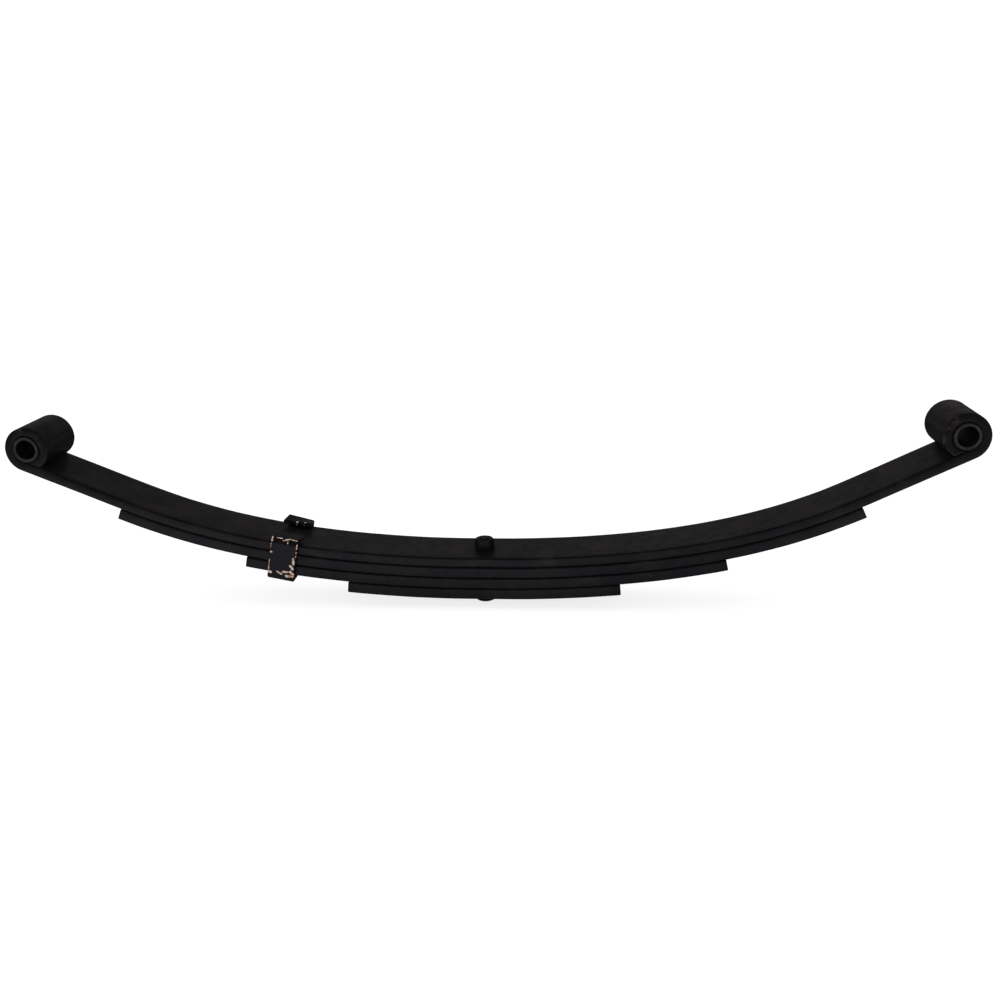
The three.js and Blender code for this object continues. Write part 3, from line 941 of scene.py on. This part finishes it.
def paint(name, base, dust, rough_low, rough_high, specular):
    """Black enamel on steel, uneven and dusty, with rusty tints that on the eyes' rims also paint highlights,
    orange peel, and chips down to primer.
    """
    n = Skin(name)
    colour = n.mix(n.span(n.noise(DUST_CLOUDS, 4), 0.38, 0.66), base, dust)
    colour = n.mix(n.span(n.noise(DUST_SMEARS, 3, 0.6, (0.4, 1, 1)), 0.56, 0.74, 0.0, 0.8), colour, DUST_FILM)
    rust_patches = n.span(n.noise(RUST_SPOTS, 5, 0.65), 0.42, 0.62)
    # This level also carries the painted highlights along the eyes' rims
    rust_and_highlight = n.maths("MULTIPLY", n.maths("MULTIPLY", n.level("rust_and_highlight"), rust_patches), 0.8)
    colour = n.mix(rust_and_highlight, colour, RUST_FILM)

    # Paint is gone where the wear, with ragged outlines, passes a level, and in specks on the rims
    outline = n.noise(CHIP_OUTLINES, 5, 0.66)
    ragged = n.maths("MULTIPLY_ADD", outline, GONE_SWING, -0.5 * GONE_SWING)
    gone = n.maths("ADD", n.maths("ADD", n.level("wear"), ragged), -GONE_LEVEL)
    specks = n.maths("MULTIPLY", n.span(n.noise(RIM_SPECKS, 1, 0.5), 0.80, 0.86), n.level("rim"))
    gone = n.maths("MAXIMUM", gone, n.maths("MULTIPLY_ADD", specks, 0.6, -0.3))
    colour = n.mix(n.span(gone, -0.10, 0.0), colour, CHIP_EDGE)
    bare = n.ramp(n.noise(CHIP_MOTTLE, 3), [(0.36, CHIP_RUST), (0.47, CHIP_TAN), (0.56, CHIP_PRIMER)])
    chip = n.span(gone, 0.0, 0.05)
    colour = n.mix(chip, colour, bare)

    roughness = n.span(n.noise(GLOSS_CLOUDS, 4), 0.3, 0.72, rough_low, rough_high)
    roughness = n.maths("MAXIMUM", roughness, n.maths("MULTIPLY", chip, CHIP_ROUGHNESS))
    relief = n.bump(n.noise(ORANGE_PEEL, 2), ORANGE_PEEL_DEPTH, 0.5)
    relief = n.bump(n.noise(PAINT_GRAIN, 2), PAINT_GRAIN_DEPTH, 0.4, relief)
    relief = n.bump(n.span(gone, -0.05, 0.05, 1.0, 0.0), PAINT_DEPTH, 0.7, relief)
    n.feed(Base_Color=colour, Roughness=roughness, Specular_IOR_Level=specular, Normal=relief)
    return n.material


def bronze():
    """A dull sintered sleeve: warm and blotchy, with fine turning marks, and a near-black bore that is
    painted shade.
    """
    n = Skin("bushing_bronze")
    # Off the bare end faces the sleeve is near black: painted shade in the bore, paint on the lap
    colour = n.mix(n.level("rim"), BORE_SHADE_AND_LAP_PAINT, n.ramp(n.noise(3.2 * MM, 4, 0.6), BRONZE_STOPS))
    roughness = n.span(n.noise(1.2 * MM, 3), 0.3, 0.7, 0.42, 0.65)
    relief = n.bump(n.noise(0.9 * MM, 2, 0.5, (1, 0.15, 1)), 0.04 * MM, 0.7)
    n.feed(Base_Color=colour, Roughness=roughness, Metallic=0.25, Specular_IOR_Level=0.35, Normal=relief)
    return n.material


# ---------------------------------------------------------------- camera, floor and light


def make_camera():
    """The camera stands in front, a little right of the middle, and looks down on the spring."""
    yaw, pitch, roll = CAMERA_YAW, CAMERA_PITCH, CAMERA_ROLL
    ahead = Vector((-math.sin(yaw) * math.cos(pitch), math.cos(yaw) * math.cos(pitch), math.sin(pitch)))
    right = Vector((math.cos(yaw), math.sin(yaw), 0))
    up = right.cross(ahead)
    leaned_right = right * math.cos(roll) + up * math.sin(roll)
    leaned_up = up * math.cos(roll) - right * math.sin(roll)
    turn = Matrix((leaned_right, leaned_up, -ahead)).transposed()
    data = bpy.data.cameras.new("camera")
    data.lens = CAMERA_LENS
    data.sensor_width = 36
    data.clip_start = 0.01
    data.clip_end = 100
    camera = bpy.data.objects.new("camera", data)
    camera.matrix_world = Matrix.Translation(CAMERA_PLACE) @ turn.to_4x4()
    bpy.context.scene.collection.objects.link(camera)
    bpy.context.scene.camera = camera


def make_floor():
    """A pale matt floor that glows to the eye, and shows darker in the gloss of the paint."""
    mesh = bpy.data.meshes.new("floor")
    corners = [(-1, -1), (1, -1), (1, 1), (-1, 1)]
    mesh.from_pydata([(FLOOR_REACH * x, FLOOR_REACH * y, 0) for x, y in corners], [], [(0, 1, 2, 3)])
    floor = bpy.data.objects.new("floor", mesh)
    bpy.context.scene.collection.objects.link(floor)
    material = bpy.data.materials.new("floor")
    material.use_nodes = True
    mesh.materials.append(material)
    n = Tree(material.node_tree)
    shader = n.tree.nodes["Principled BSDF"]
    place = n.node("SeparateXYZ")
    n.link(n.node("TexCoord").outputs["Object"], place.inputs[0])
    beside = n.maths("SUBTRACT", n.maths("ABSOLUTE", place.outputs["X"]), FLOOR_SIDES_FROM)
    in_front = n.maths("MAXIMUM", n.maths("MULTIPLY", place.outputs["Y"], -1.0), beside)
    along = n.maths("ADD", place.outputs["X"], FLOOR_GLOSS_LEFT)
    gloss = n.mix(1.0, n.ramp(in_front, FLOOR_IN_GLOSS, COOL), n.ramp(along, FLOOR_GLOSS_ALONG), "MULTIPLY")
    ray = n.node("LightPath")
    tone = n.mix(ray.outputs["Is Camera Ray"], FLOOR_TONE, FLOOR_TO_EYE)
    n.link(n.mix(ray.outputs["Is Glossy Ray"], tone, gloss), shader.inputs["Base Color"])
    n.link(1.0, shader.inputs["Roughness"])
    n.link(0.0, shader.inputs["Specular IOR Level"])
    n.link(1.0, shader.inputs["Emission Color"])
    glow = n.maths("MULTIPLY", ray.outputs["Is Camera Ray"], FLOOR_GLOW)
    n.link(glow, shader.inputs["Emission Strength"])


def make_light(name, place):
    """A large soft lamp aimed at the spring, kept out of the paint's gloss."""
    data = bpy.data.lights.new(name, "AREA")
    data.shape = "SQUARE"
    data.size = LAMP_SIZE
    data.energy = LAMP_POWER
    light = bpy.data.objects.new(name, data)
    light.location = place
    light.rotation_euler = (LAMP_AIM - Vector(place)).to_track_quat("-Z", "Y").to_euler()
    light.visible_glossy = False
    bpy.context.scene.collection.objects.link(light)


def make_world():
    """A white studio for the eye and for soft light, and a dim, uneven one in the paint's gloss."""
    world = bpy.data.worlds.new("studio")
    world.use_nodes = True
    bpy.context.scene.world = world
    n = Tree(world.node_tree)
    way = n.node("SeparateXYZ")
    n.link(n.node("TexCoord").outputs["Generated"], way.inputs[0])
    front_to_back = n.maths("MULTIPLY_ADD", way.outputs["Y"], 0.5, 0.5)
    by_height = n.ramp(way.outputs["Z"], GLOSS_BY_HEIGHT, WARM)
    gloss = n.mix(1.0, by_height, n.ramp(front_to_back, GLOSS_FRONT_TO_BACK), "MULTIPLY")
    light = n.mix(n.node("LightPath").outputs["Is Glossy Ray"], STUDIO_WHITE, gloss)
    n.link(light, n.tree.nodes["Background"].inputs["Color"])


# ---------------------------------------------------------------- the scene

bpy.context.scene.view_settings.view_transform = "Standard"
make_camera()
make_floor()
make_world()
make_light("soft_left", (-1.6, -0.4, 1.6))
make_light("soft_right", (1.6, -0.4, 1.6))

leaf_paint = paint("leaf_paint", (0.0022, 0.0021, 0.0028), (0.0050, 0.0041, 0.0044), 0.27, 0.40, 0.20)
clip_paint = paint("clip_paint", (0.0024, 0.0023, 0.0031), (0.0040, 0.0035, 0.0042), 0.28, 0.40, 0.19)
# The fasteners' black enamel is painted lighter than the leaves', lifting the shade on the bolt head low by
# the floor
fastener_paint = paint("fastener_paint", (0.0034, 0.0032, 0.0040), (0.0050, 0.0044, 0.0048), 0.27, 0.40, 0.22)
bushing_bronze = bronze()

# Each leaf's node, half length (the main leaf ends in its eyes instead), depth under the main leaf's upper
# face, thickness, and whether it has eyes
LEAVES = [
    ("main_leaf", None, 0.0, MAIN_THICKNESS, True),
    ("second_leaf", 262.6 * MM, SECOND_DEPTH, LEAF_THICKNESS, False),
    ("third_leaf", 171.0 * MM, THIRD_DEPTH, LEAF_THICKNESS, False),
    ("fourth_leaf", 97.2 * MM, FOURTH_DEPTH, LEAF_THICKNESS, False),
]
for number, (node, reach, depth, thickness, rolled) in enumerate(LEAVES):
    if number:
        depth, thickness = depth - LEAF_SQUEEZE, thickness + LEAF_SQUEEZE
    for side in (-1, 1):
        make_leaf_half(node, side, reach, depth, thickness, leaf_paint, LEAF_SEED + number, rolled)

make_clip(clip_paint)
make_rivet(fastener_paint)
make_bolt(fastener_paint)
make_nut(fastener_paint)
for side in (-1, 1):
    make_bushing(side, bushing_bronze)
